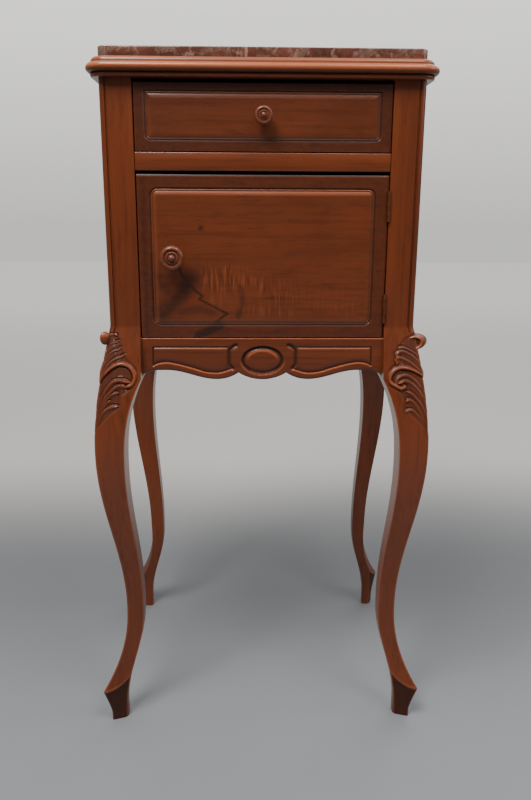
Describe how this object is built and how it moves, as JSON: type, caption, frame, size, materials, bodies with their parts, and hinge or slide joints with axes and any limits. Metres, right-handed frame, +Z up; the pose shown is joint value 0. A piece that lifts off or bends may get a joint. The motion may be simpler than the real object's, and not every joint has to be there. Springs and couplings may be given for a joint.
{
  "type": "bedside pot cupboard",
  "caption": "Bedside pot cupboard on cabriole legs: a drawer over a hinged door, with a moulded frame round a marble top.",
  "frame": {"origin": "on the floor, under the middle of the case", "axes": "+Z up along the greatest extent, -Y the front with drawer and door, +X to the right seen from the front"},
  "size_m": [0.427, 0.3419, 0.857],
  "materials": {
    "case_wood": "stained walnut, semi-gloss wax polish",
    "front_wood": "darker figured veneer, semi-gloss polish",
    "inner_wood": "plain unpolished",
    "marble": "polished red-brown with grey-tan mottling",
    "brass": "dulled by age",
    "steel": "bright"
  },
  "bodies": {
    "case": {"marble_top": "marble", "top_moulding_front": "case_wood", "top_moulding_left": "case_wood", "top_moulding_right": "case_wood", "top_back_rail": "inner_wood", "top_dowels": "inner_wood", "top_screws": "brass", "front_leg_left": "case_wood", "front_leg_right": "case_wood", "rear_leg_left": "case_wood", "rear_leg_right": "case_wood", "apron_front": "case_wood", "drawer_rail": "case_wood", "side_rail_left": "case_wood", "side_rail_right": "case_wood", "side_apron_left": "case_wood", "side_apron_right": "case_wood", "side_panel_left": "case_wood", "side_panel_right": "case_wood", "back_rail_top": "case_wood", "back_rail_bottom": "case_wood", "back_panel": "inner_wood", "cupboard_floor": "inner_wood", "floor_cleat_left": "inner_wood", "floor_cleat_right": "inner_wood", "glue_blocks": "inner_wood", "dust_board": "inner_wood", "drawer_runner_left": "inner_wood", "drawer_runner_right": "inner_wood", "drawer_guide_left": "inner_wood", "drawer_guide_right": "inner_wood", "drawer_kicker_left": "inner_wood", "drawer_kicker_right": "inner_wood", "drawer_stops": "inner_wood", "door_stop": "inner_wood", "hinge_leaf_post_upper": "brass", "hinge_leaf_post_lower": "brass", "hinge_pins": "brass", "hinge_screws_post": "brass", "catch_strike": "brass", "strike_screws": "brass"},
    "drawer": {"drawer_front": "front_wood", "drawer_side_left": "inner_wood", "drawer_side_right": "inner_wood", "drawer_back": "inner_wood", "drawer_bottom": "inner_wood", "drawer_knob": "front_wood", "drawer_knob_screw": "brass"},
    "door": {"door_board": "front_wood", "door_knob": "front_wood", "door_knob_screw": "brass", "hinge_leaf_door_upper": "brass", "hinge_leaf_door_lower": "brass", "hinge_screws_door": "brass", "catch_case": "brass", "catch_spring": "steel"},
    "catch_ball": {"catch_ball": "steel"}
  },
  "joints": [
    {"name": "drawer_slide", "type": "slide", "parent": "case", "child": "drawer", "axis": [0, -1, 0], "range_m": [0, 0.19]},
    {"name": "door_hinge", "type": "hinge", "parent": "case", "child": "door", "pos_m": [0.1471, -0.1475, 0.6259], "axis": [0, 0, 1], "range_deg": [0, 150]},
    {"name": "catch_press", "type": "slide", "parent": "door", "child": "catch_ball", "axis": [1, 0, 0], "range_m": [0, 0.0019], "stiffness_N_per_m": 400, "springref_m": -0.002, "deforming": ["catch_spring"]}
  ]
}
